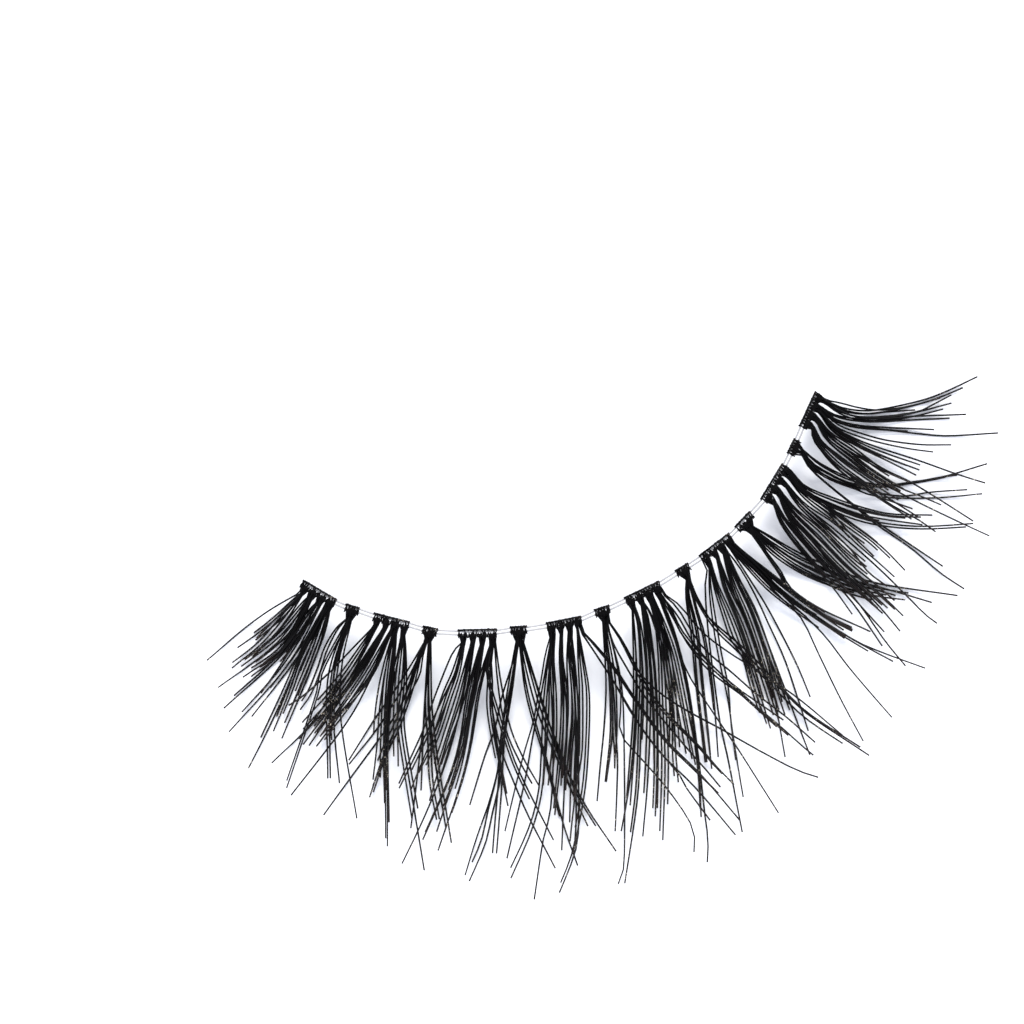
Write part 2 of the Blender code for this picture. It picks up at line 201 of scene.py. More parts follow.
# %% Finish of the table
CLOUDS_PER_METRE = 8.0
material, tree, shader = new_material("white_laminate_matt")
place = add_node(tree, "ShaderNodeTexCoord")
cloud = add_node(tree, "ShaderNodeTexNoise", {"Scale": CLOUDS_PER_METRE, "Detail": 2.0},
                 {"Vector": place.outputs["Object"]})
tint = add_node(tree, "ShaderNodeValToRGB", {}, {"Fac": cloud.outputs["Fac"]})
ramp_colours(tint, ((0.0, "fbfbfd"), (1.0, "fdfdfd")))
tree.links.new(tint.outputs["Color"], shader.inputs["Base Color"])
shader.inputs["Roughness"].default_value = 0.9
shader.inputs["Specular IOR Level"].default_value = 0.0
table.data.materials.append(material)

# %% [markdown]
# The fibres are drawn from black polyester, known as PBT. Drawing leaves them smooth and round
# with a silky shine. They are dyed through, but at the tips the light comes through a little and
# they look dark brown. The finish therefore reads how far along its fibre a point lies, which
# each fibre carries in its own UV map. On the outer half pale specks are painted into the colour,
# in groups about 3 mm apart: painted glints, standing for the lamp's highlights on the curling
# fibres. The glints on the real strip are 0.05 mm apart. These are drawn twice as coarse, so that
# they show.

# %% Finish of the fibres
GLINT_AND_GRAIN_SPACING = 0.10
GRAIN_HEIGHT = 0.004
GLINT_CLUSTER_SPACING = 3.0


def fibre_material(name):
    material, tree, shader = new_material(name)
    place = add_node(tree, "ShaderNodeTexCoord")
    share = add_node(tree, "ShaderNodeSeparateXYZ", {}, {"Vector": place.outputs["UV"]})
    glint_and_grain_noise = add_node(tree, "ShaderNodeTexNoise",
                      {"Scale": 1.0 / (GLINT_AND_GRAIN_SPACING * MM), "Detail": 2.0},
                      {"Vector": place.outputs["Object"]})
    length_colour = add_node(tree, "ShaderNodeValToRGB", {}, {"Fac": share.outputs["X"]})
    ramp_colours(length_colour, ((0.0, "060506"), (0.8, "0a0808"), (1.0, "1e1512")))
    glint_clusters = add_node(tree, "ShaderNodeTexNoise",
                        {"Scale": 1.0 / (GLINT_CLUSTER_SPACING * MM), "Detail": 1.0},
                        {"Vector": place.outputs["Object"]})
    # Painted glints: pale specks painted into the base colour on the outer half, in place of the
    # lamp's highlights
    pale = add_node(tree, "ShaderNodeMapRange",
                    {"From Min": 0.64, "From Max": 0.67, "To Min": 0.0, "To Max": 1.0},
                    {"Value": glint_and_grain_noise.outputs["Fac"]})
    glint_cluster_mask = add_node(tree, "ShaderNodeMapRange",
                       {"From Min": 0.45, "From Max": 0.60, "To Min": 0.0, "To Max": 1.0},
                       {"Value": glint_clusters.outputs["Fac"]})
    outer = add_node(tree, "ShaderNodeMapRange",
                     {"From Min": 0.50, "From Max": 0.62, "To Min": 0.0, "To Max": 0.9},
                     {"Value": share.outputs["X"]})
    far_out = add_node(tree, "ShaderNodeMath", {"operation": "MULTIPLY"},
                       {0: glint_cluster_mask.outputs["Result"], 1: outer.outputs["Result"]})
    painted_glint_amount = add_node(tree, "ShaderNodeMath", {"operation": "MULTIPLY"},
                      {0: pale.outputs["Result"], 1: far_out.outputs["Value"]})
    # The pale painted glint colour mixed into the fibre's own dark colour
    mixed = add_node(tree, "ShaderNodeMix", {"data_type": "RGBA", 7: linear("c0b6a4")},
                     {0: painted_glint_amount.outputs["Value"], 6: length_colour.outputs["Color"]})
    rough = add_node(tree, "ShaderNodeMapRange",
                     {"From Min": 0.3, "From Max": 0.7, "To Min": 0.28, "To Max": 0.5},
                     {"Value": glint_and_grain_noise.outputs["Fac"]})
    grain = add_node(tree, "ShaderNodeBump", {"Strength": 0.3, "Distance": GRAIN_HEIGHT * MM},
                     {"Height": glint_and_grain_noise.outputs["Fac"]})
    tree.links.new(mixed.outputs[2], shader.inputs["Base Color"])
    tree.links.new(rough.outputs["Result"], shader.inputs["Roughness"])
    tree.links.new(grain.outputs["Normal"], shader.inputs["Normal"])
    shader.inputs["IOR"].default_value = 1.58
    gloss = add_node(tree, "ShaderNodeMapRange",
                     {"From Min": 0.3, "From Max": 0.6, "To Min": 0.05, "To Max": 0.13},
                     {"Value": share.outputs["X"]})
    tree.links.new(gloss.outputs["Result"], shader.inputs["Specular IOR Level"])
    return material


fibre_finish = fibre_material("black_polyester_fibre_painted_glints")
print("made", fibre_finish.name)

# %% [markdown]
# A fibre is modelled once, as a straight rod. A cylinder is laid along X, cut across in edit
# mode into short lengths, and thinned towards its tip ring by ring. It is 10 mm long here. Later
# a Curve modifier stretches each copy along a path of its own, so every fibre gets its own length
# and bend. Its UV map holds the share of its length and the way round it.

# %% Model one straight fibre
FIBRE_THICKNESS = 0.10
FIBRE_LENGTH = 10.0
FIBRE_SIDES = 5
FIBRE_CUTS = 17
TAPER_FROM = 0.70             # share of the length where the thinning starts
TIP_THICKNESS = 0.90          # of the tip, as a share of the root's


def deselect_all():
    bpy.ops.object.select_all(action="DESELECT")


def straight_fibre():
    deselect_all()
    bpy.ops.mesh.primitive_cylinder_add(
        vertices=FIBRE_SIDES, radius=FIBRE_THICKNESS / 2 * MM, depth=FIBRE_LENGTH * MM,
        location=(FIBRE_LENGTH / 2 * MM, 0, 0), rotation=(0, math.pi / 2, 0))
    rod = bpy.context.object
    rod.name = "straight_fibre"
    bpy.ops.object.transform_apply(location=True, rotation=True, scale=True)
    bpy.ops.object.mode_set(mode="EDIT")
    bpy.ops.mesh.select_mode(type="EDGE")
    bpy.ops.mesh.select_all(action="DESELECT")
    bpy.ops.object.mode_set(mode="OBJECT")
    for edge in rod.data.edges:
        a, b = (rod.data.vertices[index].co for index in edge.vertices)
        edge.select = abs(a.x - b.x) > FIBRE_LENGTH / 2 * MM
    bpy.ops.object.mode_set(mode="EDIT")
    bpy.ops.mesh.subdivide(number_cuts=FIBRE_CUTS)
    bpy.ops.object.mode_set(mode="OBJECT")
    for vertex in rod.data.vertices:
        share = vertex.co.x / (FIBRE_LENGTH * MM)
        if share > TAPER_FROM:
            thinned = 1 - (1 - TIP_THICKNESS) * (share - TAPER_FROM) / (1 - TAPER_FROM)
            vertex.co.y *= thinned
            vertex.co.z *= thinned
    for face in rod.data.polygons:
        face.use_smooth = len(face.vertices) == 4
        for loop in face.loop_indices:
            place = rod.data.vertices[rod.data.loops[loop].vertex_index].co
            around = math.atan2(place.z, place.y) / (2 * math.pi) + 0.5
            rod.data.uv_layers.active.data[loop].uv = (place.x / (FIBRE_LENGTH * MM), around)
    rod.data.materials.append(fibre_finish)
    return rod


rod = straight_fibre()
print("one fibre has", len(rod.data.polygons), "faces and", len(rod.data.vertices), "points")

# %% [markdown]
# Fibres grow in wisps: a few that leave one tuft together and fan out a little. The table below
# has a row for each wisp. It gives the tuft, counted from the knot's left end, the number of
# fibres, their thickness in millimetres, the chart places the wisp passes, the place of its tip,
# how far its tips fan out in chart units, and its layer, which says what lies over what.

# %% The wisps
Wisp = namedtuple("Wisp", "tuft fibres thickness passes tip fan layer")
THICK = 0.104
FINE = 0.095
WISPS = {
    "long_lash_1": (
        Wisp(1, 1, FINE, ((270, 610), (240, 632)), (207, 660), 0, 0),
        Wisp(1, 3, THICK, ((275, 620),), (238, 648), 3, 0),
        Wisp(1, 1, THICK, ((277, 617),), (257, 638), 0, 0),
        Wisp(1, 3, THICK, ((265, 640),), (232, 668), 6, 0),
        Wisp(2, 4, THICK, ((280, 635),), (241, 666), 6, 0),
        Wisp(2, 1, FINE, ((275, 645),), (218, 687), 0, 0),
        Wisp(2, 3, THICK, ((285, 645),), (243, 677), 4, 0),
        Wisp(2, 2, THICK, ((285, 647),), (251, 676), 4, 0),
        Wisp(3, 4, THICK, ((295, 635),), (262, 662), 8, 0),
        Wisp(3, 2, THICK, ((280, 655),), (223, 707), 3, 0),
        Wisp(3, 2, THICK, ((297, 640),), (280, 661), 3, 0),
        Wisp(3, 1, THICK, ((287, 655),), (261, 693), 0, 0),
        Wisp(3, 2, FINE, ((285, 665),), (227, 730), 4, 0),
        Wisp(4, 2, THICK, ((300, 650),), (250, 715), 3, 0),
        Wisp(4, 2, THICK, ((302, 651), (284, 692), (266, 731)), (248, 768), 3, 0),
        Wisp(4, 3, THICK, ((302, 657), (289, 692)), (273, 731), 6, 0),
        Wisp(4, 2, THICK, ((315, 655),), (281, 738), 3, 0),
        Wisp(4, 4, THICK, ((314, 650),), (297, 695), 6, 0),
    ),
    "short_lash_1": (
        Wisp(1, 2, THICK, ((336, 630), (325, 650), (319, 668), (309, 692)), (298, 708), 4, 0),
        Wisp(1, 2, FINE, ((322, 670), (318, 690), (305, 730)), (285, 787), 2, 1),
        Wisp(1, 3, THICK, ((335, 660), (330, 700)), (332, 778), 6, 1),
        Wisp(1, 2, THICK, ((338, 660), (333, 720)), (339, 783), 3, 1),
        Wisp(1, 1, FINE, ((342, 665), (341, 720)), (357, 818), 0, 2),
    ),
    "long_lash_2": (
        Wisp(1, 1, THICK, ((352, 649), (330, 672), (304, 695)), (289, 705), 0, 1),
        Wisp(1, 3, THICK, ((345, 672),), (302, 722), 6, 0),
        Wisp(1, 1, FINE, ((340, 680), (310, 725)), (272, 763), 0, 0),
        Wisp(1, 2, THICK, ((340, 690),), (298, 738), 5, 0),
        Wisp(2, 3, THICK, ((355, 675),), (303, 744), 6, 0),
        Wisp(2, 3, THICK, ((358, 674),), (310, 746), 6, 0),
        Wisp(3, 3, THICK, ((364, 680),), (316, 746), 6, 1),
        Wisp(3, 2, THICK, ((368, 680),), (320, 735), 6, 1),
        Wisp(3, 1, THICK, ((370, 680), (345, 725)), (291, 795), 0, 1),
        Wisp(3, 2, THICK, ((390, 650), (385, 685), (383, 720), (382, 760)), (383, 803), 4, 1),
        Wisp(3, 2, THICK, ((386, 730),), (387, 822), 3, 1),
        Wisp(3, 2, FINE, ((387, 740),), (386, 846), 3, 1),
        Wisp(3, 2, THICK, ((388, 652), (381, 685), (377, 715), (375, 745)), (371, 779), 3, 1),
        Wisp(4, 2, THICK, ((398, 655), (392, 680), (389, 700), (386, 730)), (383, 790), 3, 1),
        Wisp(4, 2, THICK, ((396, 690),), (395, 766), 3, 2),
        Wisp(4, 3, THICK, ((405, 650), (404, 690), (401, 720), (406, 760)), (425, 870), 4, 1),
    ),
    "short_lash_2": (
        Wisp(1, 1, THICK, ((414, 660), (404, 676), (389, 699), (376, 717)), (349, 760), 0, 0),
        Wisp(1, 1, THICK, ((416, 662), (404, 686), (392, 706), (375, 732)), (349, 764), 0, 0),
        Wisp(1, 1, THICK, ((417, 662), (408, 690), (397, 712), (386, 729), (360, 765)),
             (324, 815), 0, 0),
        Wisp(1, 3, THICK, ((420, 655), (413, 680), (403, 710), (395, 730), (383, 756)),
             (369, 797), 4, 0),
        Wisp(1, 1, THICK, ((423, 655), (420, 674), (411, 692), (402, 713), (388, 748)),
             (373, 785), 0, 0),
        Wisp(1, 1, FINE, ((424, 720), (420, 750)), (411, 828), 0, 0),
        Wisp(1, 1, THICK, ((424, 715),), (421, 790), 0, 0),
        Wisp(1, 2, THICK, ((427, 700), (430, 740), (432, 780)), (439, 819), 3, 0),
        Wisp(1, 2, THICK, ((430, 700), (434, 745), (438, 775)), (449, 843), 3, 0),
    ),
    "long_lash_3": (
        Wisp(1, 1, THICK, ((453, 652), (441, 680), (432, 704), (424, 728)), (399, 783), 0, 2),
        Wisp(1, 1, THICK, ((456, 670), (443, 698), (425, 736)), (399, 788), 0, 1),
        Wisp(1, 4, THICK, ((456, 672), (447, 696), (434, 735)), (417, 772), 9, 1),
        Wisp(1, 1, FINE, ((449, 695),), (411, 790), 0, 1),
        Wisp(2, 4, THICK, ((462, 690), (448, 735)), (428, 800), 8, 1),
        Wisp(2, 2, THICK, ((462, 700),), (440, 764), 4, 1),
        Wisp(2, 1, THICK, ((460, 710), (446, 762), (425, 815)), (402, 863), 0, 2),
        Wisp(3, 3, THICK, ((470, 690), (462, 740), (450, 780)), (424, 840), 5, 1),
        Wisp(3, 2, THICK, ((471, 700), (462, 750)), (435, 831), 3, 1),
        Wisp(3, 2, THICK, ((473, 700),), (455, 772), 6, 1),
        Wisp(4, 3, THICK, ((478, 690), (473, 720), (468, 750), (459, 785)), (437, 850), 4, 1),
        Wisp(4, 3, THICK, ((490, 650), (490, 680), (491, 720)), (507, 806), 5, 1),
        Wisp(4, 2, THICK, ((499, 680), (507, 725), (519, 755)), (537, 787), 3, 2),
        Wisp(4, 2, THICK, ((487, 670), (500, 720), (508, 745), (520, 775)), (553, 840), 3, 2),
        Wisp(4, 1, THICK, ((490, 690), (500, 745), (515, 785), (530, 820)), (555, 868), 0, 2),
    ),
    "short_lash_3": (
        Wisp(1, 2, THICK, ((516, 655), (511, 690), (503, 735), (500, 770), (490, 813), (483, 843)),
             (467, 880), 3, 0),
        Wisp(1, 1, FINE, ((511, 690), (503, 735), (500, 760), (490, 800), (477, 837)),
             (465, 875), 0, 0),
        Wisp(1, 2, THICK, ((503, 730), (500, 780)), (494, 853), 3, 0),
        Wisp(1, 1, THICK, ((515, 655), (510, 671), (501, 700), (495, 728), (485, 755)),
             (470, 805), 0, 0),
        Wisp(1, 2, THICK, ((525, 652), (534, 682), (543, 712), (560, 755), (575, 795)),
             (594, 827), 5, 0),
        Wisp(1, 1, THICK, ((526, 650), (536, 682), (546, 712), (560, 755), (585, 805)),
             (616, 851), 0, 0),
        Wisp(1, 2, THICK, ((521, 655), (526, 690), (534, 722), (547, 765), (562, 825)),
             (576, 866), 3, 0),
        Wisp(1, 1, THICK, ((523, 655), (531, 690), (541, 722), (560, 765)), (588, 826), 0, 0),
    ),
    "long_lash_4": (
        Wisp(1, 1, FINE, ((545, 655), (541, 680), (537, 700), (533, 722), (522, 760)),
             (505, 831), 0, 2),
        Wisp(1, 1, THICK, ((540, 700), (532, 740), (525, 780)), (507, 858), 0, 1),
        Wisp(1, 2, THICK, ((545, 700), (543, 750), (540, 793), (530, 830)), (509, 877), 3, 1),
        Wisp(1, 3, THICK, ((552, 660), (554, 700), (554, 740)), (549, 785), 4, 1),
        Wisp(1, 1, THICK, ((549, 665), (549, 700), (547, 740)), (543, 785), 0, 1),
        Wisp(1, 1, THICK, ((553, 720), (553, 770), (550, 813), (543, 840)), (534, 899), 0, 1),
        Wisp(2, 3, THICK, ((561, 660), (564, 690), (564, 720), (562, 755)), (556, 815), 5, 1),
        Wisp(2, 2, THICK, ((562, 670), (565, 710), (564, 755)), (560, 850), 4, 1),
        Wisp(3, 2, THICK, ((568, 660), (570, 690), (570, 720), (567, 750)), (564, 790), 3, 1),
        Wisp(3, 3, THICK, ((570, 655), (574, 690), (575, 720), (572, 755)), (570, 822), 5, 1),
        Wisp(3, 1, THICK, ((575, 700), (577, 770)), (570, 841), 0, 1),
        Wisp(3, 2, THICK, ((576, 690), (577, 760), (577, 830), (572, 857)), (558, 892), 3, 1),
        Wisp(4, 2, THICK, ((579, 660), (581, 690), (581, 745), (579, 765)), (573, 800), 3, 1),
        Wisp(4, 2, THICK, ((583, 660), (588, 695), (587, 750), (583, 795)), (572, 852), 2, 1),
        Wisp(4, 1, THICK, ((593, 650), (615, 684), (630, 711), (659, 751), (696, 788)),
             (735, 835), 0, 2),
        Wisp(4, 2, THICK, ((593, 643), (614, 668), (634, 698), (665, 740), (701, 776)),
             (718, 793), 2, 2),
        Wisp(4, 1, THICK, ((594, 643), (615, 669), (635, 698), (666, 740), (702, 776)),
             (740, 820), 0, 2),
        Wisp(4, 1, THICK, ((593, 650), (615, 684), (645, 733), (679, 774), (686, 787)),
             (710, 820), 0, 2),
    ),
    "short_lash_4": (
        Wisp(1, 1, THICK, ((605, 660), (606, 690), (604, 729), (600, 768)), (597, 801), 0, 0),
        Wisp(1, 3, THICK, ((611, 670), (613, 700), (613, 735)), (608, 782), 3, 0),
        Wisp(1, 2, THICK, ((612, 690), (614, 729), (616, 758), (615, 790)), (613, 831), 1, 0),
        Wisp(1, 1, FINE, ((617, 661), (622, 690), (624, 740), (624, 860)), (618, 884), 0, 0),
        Wisp(1, 1, FINE, ((616, 661), (621, 700), (619, 722), (621, 736), (645, 763), (666, 787),
                          (688, 818), (695, 837)), (694, 852), 0, 1),
        Wisp(1, 1, THICK, ((620, 639), (634, 666), (655, 689), (684, 709), (721, 729), (762, 752),
                           (797, 770)), (818, 777), 0, 1),
        Wisp(1, 1, THICK, ((612, 641), (625, 665), (643, 694), (665, 722), (691, 753), (705, 769)),
             (720, 787), 0, 1),
        Wisp(1, 2, THICK, ((621, 640), (634, 665), (650, 694), (670, 718), (698, 746), (713, 764)),
             (733, 785), 2, 1),
    ),
    "long_lash_5": (
        Wisp(1, 2, THICK, ((633, 625), (635, 665), (635, 715), (631, 768)), (628, 805), 2, 0),
        Wisp(1, 1, THICK, ((634, 625), (636, 665), (635, 720), (631, 772), (626, 805)),
             (621, 831), 0, 0),
        Wisp(1, 2, THICK, ((638, 625), (641, 665), (640, 715), (638, 770), (635, 806)),
             (624, 883), 1, 0),
        Wisp(1, 2, THICK, ((640, 625), (644, 665), (645, 710)), (643, 770), 3, 0),
        Wisp(2, 2, THICK, ((644, 625), (648, 665), (648, 715), (645, 783)), (640, 836), 2, 0),
        Wisp(2, 2, THICK, ((647, 625), (652, 665), (655, 715), (655, 768)), (653, 816), 3, 0),
        Wisp(2, 1, THICK, ((648, 625), (652, 690)), (654, 764), 0, 0),
        Wisp(2, 1, THICK, ((649, 622), (656, 680), (658, 748)), (657, 808), 0, 0),
        Wisp(2, 2, THICK, ((651, 615), (662, 648), (668, 682), (672, 703), (672, 750)),
             (674, 776), 4, 0),
        Wisp(3, 3, THICK, ((656, 622), (661, 660), (663, 710), (665, 760)), (663, 840), 3, 0),
        Wisp(3, 3, THICK, ((660, 620), (668, 655), (673, 700), (676, 750)), (679, 782), 4, 0),
        Wisp(3, 4, THICK, ((663, 627), (672, 657), (679, 690), (686, 725)), (694, 765), 7, 0),
        Wisp(4, 2, THICK, ((670, 623), (680, 655), (688, 690), (694, 730), (699, 775)),
             (701, 817), 2, 0),
        Wisp(4, 1, THICK, ((671, 622), (682, 660), (692, 710), (700, 770), (705, 816), (708, 840)),
             (707, 862), 0, 0),
        Wisp(4, 1, FINE, ((673, 636), (687, 672), (702, 696), (723, 727), (740, 752), (758, 781)),
             (778, 813), 0, 1),
        Wisp(4, 1, THICK, ((674, 611), (683, 625), (690, 638), (710, 663), (735, 686), (760, 704)),
             (783, 720), 0, 2),
        Wisp(4, 2, THICK, ((670, 608), (679, 628), (690, 643), (706, 661), (740, 692), (771, 720)),
             (788, 735), 2, 2),
        Wisp(4, 1, THICK, ((674, 620), (683, 637), (692, 650), (709, 671), (740, 694), (775, 722),
                           (802, 746)), (813, 755), 0, 2),
        Wisp(4, 1, THICK, ((668, 598), (680, 612), (690, 629), (705, 650), (731, 672), (756, 694),
                           (785, 716)), (815, 742), 0, 2),
        Wisp(4, 1, FINE, ((668, 596), (680, 606), (690, 618), (704, 634), (731, 654), (760, 672),
                          (799, 699)), (842, 735), 0, 2),
    ),
    "short_lash_5": (
        Wisp(1, 4, THICK, ((687, 594), (690, 610), (695, 636), (699, 680), (704, 725)),
             (709, 769), 6, 0),
        Wisp(1, 2, THICK, ((692, 594), (697, 613), (704, 637), (711, 680), (715, 720)),
             (718, 757), 3, 1),
        Wisp(1, 1, THICK, ((693, 589), (700, 603), (708, 617), (720, 628), (748, 652), (782, 688),
                           (808, 713)), (860, 747), 0, 1),
        Wisp(1, 2, THICK, ((694, 596), (700, 606), (709, 620), (720, 633), (746, 657), (780, 691),
                           (809, 718)), (868, 757), 2, 1),
    ),
    "long_lash_6": (
        Wisp(1, 1, THICK, ((705, 580), (706, 610), (710, 650), (716, 695), (721, 728), (729, 763)),
             (742, 832), 0, 0),
        Wisp(1, 1, FINE, ((709, 590), (712, 618), (718, 655), (728, 700), (734, 741)),
             (743, 797), 0, 0),
        Wisp(1, 1, FINE, ((711, 590), (716, 622), (721, 653), (728, 686), (731, 720)),
             (736, 760), 0, 0),
        Wisp(1, 2, THICK, ((714, 585), (723, 612), (733, 640), (744, 655), (753, 686)),
             (766, 724), 3, 0),
        Wisp(1, 2, THICK, ((717, 585), (731, 617), (741, 643), (750, 670)), (768, 729), 3, 0),
        Wisp(2, 4, THICK, ((727, 587), (743, 621), (755, 655)), (776, 721), 7, 0),
        Wisp(2, 2, THICK, ((724, 587), (738, 621), (750, 655)), (763, 700), 5, 0),
        Wisp(3, 6, THICK, ((735, 582), (750, 615), (764, 655)), (783, 715), 10, 0),
        Wisp(3, 1, FINE, ((737, 582), (752, 615), (768, 665)), (785, 757), 0, 0),
        Wisp(3, 2, THICK, ((740, 583), (756, 617), (770, 653), (788, 700)), (809, 755), 3, 0),
        Wisp(3, 1, THICK, ((741, 570), (756, 597), (769, 625), (784, 658), (797, 697)),
             (808, 731), 0, 0),
        Wisp(4, 1, THICK, ((750, 580), (767, 607), (785, 641), (798, 668)), (810, 697), 0, 0),
        Wisp(4, 6, THICK, ((752, 566), (775, 587), (800, 606)), (845, 637), 11, 1),
        Wisp(4, 3, THICK, ((752, 561), (775, 580), (800, 600), (825, 616)), (852, 630), 4, 1),
        Wisp(4, 1, THICK, ((755, 566), (775, 587), (805, 611), (835, 631)), (868, 651), 0, 1),
        Wisp(4, 1, THICK, ((755, 564), (775, 585), (805, 609), (845, 635)), (893, 661), 0, 1),
        Wisp(4, 1, FINE, ((755, 563), (775, 584), (805, 608), (850, 638), (880, 652)),
             (925, 668), 0, 1),
        Wisp(4, 1, FINE, ((755, 568), (785, 598), (815, 626), (830, 643), (850, 669)),
             (892, 717), 0, 1),
        Wisp(4, 1, FINE, ((752, 568), (780, 597), (801, 618), (818, 653), (841, 700)),
             (863, 741), 0, 1),
    ),
    "short_lash_6": (
        Wisp(1, 2, THICK, ((770, 537), (800, 555), (840, 573), (880, 586)), (957, 598), 2, 0),
        Wisp(1, 2, THICK, ((770, 542), (800, 561), (845, 580), (885, 591)), (931, 605), 2, 0),
        Wisp(1, 3, THICK, ((770, 546), (800, 567), (845, 588), (880, 597)), (905, 600), 3, 0),
        Wisp(1, 2, THICK, ((770, 551), (800, 571), (830, 584), (850, 590)), (875, 598), 2, 0),
        Wisp(1, 2, THICK, ((760, 545), (770, 559), (780, 573), (790, 590), (820, 611)),
             (869, 634), 2, 0),
        Wisp(1, 1, THICK, ((760, 546), (771, 561), (781, 575), (791, 592), (820, 614)),
             (852, 631), 0, 0),
    ),
    "long_lash_7": (
        Wisp(1, 1, FINE, ((780, 523), (797, 547), (820, 573), (834, 589)), (852, 614), 0, 1),
        Wisp(1, 4, THICK, ((784, 522), (802, 545), (825, 571)), (853, 600), 8, 1),
        Wisp(1, 1, THICK, ((783, 523), (803, 549), (826, 575), (850, 600)), (882, 646), 0, 1),
        Wisp(1, 1, THICK, ((785, 522), (806, 547), (832, 575), (858, 603)), (884, 632), 0, 1),
        Wisp(1, 1, THICK, ((786, 521), (808, 547), (835, 577), (860, 605), (885, 641)),
             (905, 666), 0, 1),
        Wisp(2, 8, THICK, ((792, 514), (815, 538), (845, 569), (870, 590)), (893, 611), 14, 1),
        Wisp(2, 1, THICK, ((795, 514), (820, 540), (850, 570), (880, 594)), (903, 616), 0, 1),
        Wisp(2, 1, THICK, ((790, 516), (813, 541), (840, 572), (865, 592), (885, 613)),
             (900, 631), 0, 1),
        Wisp(2, 2, FINE, ((790, 516), (812, 540), (838, 570)), (877, 609), 4, 1),
        Wisp(3, 1, THICK, ((800, 505), (830, 531), (850, 549), (867, 571)), (887, 586), 0, 1),
        Wisp(3, 3, THICK, ((800, 505), (825, 529), (845, 549)), (866, 567), 5, 1),
        Wisp(3, 1, THICK, ((802, 504), (830, 526), (852, 545), (880, 570), (908, 597), (925, 614)),
             (937, 623), 0, 1),
        Wisp(3, 1, FINE, ((805, 504), (835, 524), (860, 547), (875, 560)), (894, 577), 0, 1),
        Wisp(4, 4, THICK, ((805, 495), (830, 513), (850, 528), (870, 543)), (888, 560), 5, 1),
        Wisp(4, 1, THICK, ((805, 493), (835, 513), (865, 534), (885, 550)), (905, 570), 0, 1),
        Wisp(4, 2, THICK, ((805, 494), (830, 513), (850, 535)), (873, 557), 3, 1),
        Wisp(4, 2, THICK, ((805, 487), (830, 498), (860, 508), (890, 515)), (932, 516), 2, 1),
        Wisp(4, 2, THICK, ((805, 489), (830, 501), (860, 512), (885, 517)), (905, 519), 2, 1),
        Wisp(4, 2, THICK, ((805, 491), (830, 504), (860, 515), (890, 521)), (922, 525), 2, 1),
        Wisp(4, 2, THICK, ((805, 493), (830, 508), (860, 520), (890, 526), (925, 528)),
             (973, 525), 2, 1),
    ),
    "short_lash_7": (
        Wisp(1, 2, THICK, ((815, 461), (830, 470), (850, 479), (880, 486), (910, 483), (945, 477)),
             (987, 464), 2, 0),
        Wisp(1, 1, THICK, ((812, 463), (830, 474), (850, 483), (880, 487), (915, 482), (935, 478)),
             (957, 475), 0, 0),
        Wisp(1, 1, FINE, ((812, 466), (830, 478), (855, 487), (885, 494), (905, 496), (930, 492)),
             (967, 490), 0, 0),
        Wisp(1, 1, FINE, ((811, 468), (830, 480), (855, 489), (880, 497), (935, 498)),
             (982, 494), 0, 0),
        Wisp(1, 2, THICK, ((811, 465), (830, 477), (850, 486)), (880, 496), 3, 0),
        Wisp(1, 1, THICK, ((810, 468), (830, 486), (850, 502), (868, 516), (885, 528)),
             (943, 566), 0, 0),
        Wisp(1, 1, THICK, ((809, 468), (829, 486), (849, 502), (867, 517), (880, 527), (912, 549),
                           (940, 573)), (964, 589), 0, 0),
    ),
    "long_lash_8": (
        Wisp(1, 1, THICK, ((813, 440), (830, 461), (848, 477), (875, 495)), (912, 509), 0, 2),
        Wisp(1, 4, THICK, ((820, 445), (838, 464), (860, 480), (885, 497)), (918, 518), 7, 2),
        Wisp(1, 1, THICK, ((818, 446), (835, 464), (860, 483), (890, 504), (917, 519)),
             (935, 532), 0, 2),
        Wisp(1, 2, THICK, ((822, 443), (842, 459), (862, 473)), (888, 490), 4, 2),
        Wisp(2, 5, THICK, ((828, 436), (850, 452), (875, 471)), (906, 490), 8, 1),
        Wisp(2, 1, THICK, ((832, 436), (855, 452), (885, 470), (910, 482), (940, 500)),
             (973, 521), 0, 1),
        Wisp(2, 1, THICK, ((830, 437), (852, 453), (882, 470)), (909, 482), 0, 1),
        Wisp(2, 1, FINE, ((828, 439), (850, 455), (875, 473), (900, 488), (920, 496)),
             (941, 505), 0, 1),
        Wisp(2, 1, FINE, ((827, 441), (848, 459), (872, 478), (900, 493), (930, 508)),
             (989, 536), 0, 1),
        Wisp(3, 1, THICK, ((835, 428), (860, 441), (885, 450), (920, 461), (957, 474)),
             (985, 483), 0, 1),
        Wisp(3, 1, THICK, ((835, 429), (860, 443), (885, 453)), (920, 465), 0, 1),
        Wisp(3, 2, THICK, ((833, 430), (860, 446), (885, 457)), (919, 470), 2, 1),
        Wisp(3, 1, THICK, ((832, 431), (858, 447), (885, 460)), (916, 475), 0, 1),
        Wisp(3, 1, THICK, ((838, 425), (860, 433), (885, 440), (920, 445)), (951, 445), 0, 1),
        Wisp(3, 1, FINE, ((836, 427), (860, 437), (885, 444), (910, 449)), (933, 452), 0, 1),
        Wisp(3, 2, THICK, ((835, 420), (855, 426), (880, 428)), (934, 430), 2, 0),
        Wisp(3, 1, THICK, ((836, 421), (855, 427), (880, 429), (920, 434), (950, 436)),
             (998, 433), 0, 0),
        Wisp(3, 2, THICK, ((835, 416), (855, 420), (880, 421), (915, 419)), (966, 417), 2, 0),
        Wisp(4, 1, FINE, ((840, 403), (860, 408), (880, 410), (910, 406)), (940, 398), 0, 0),
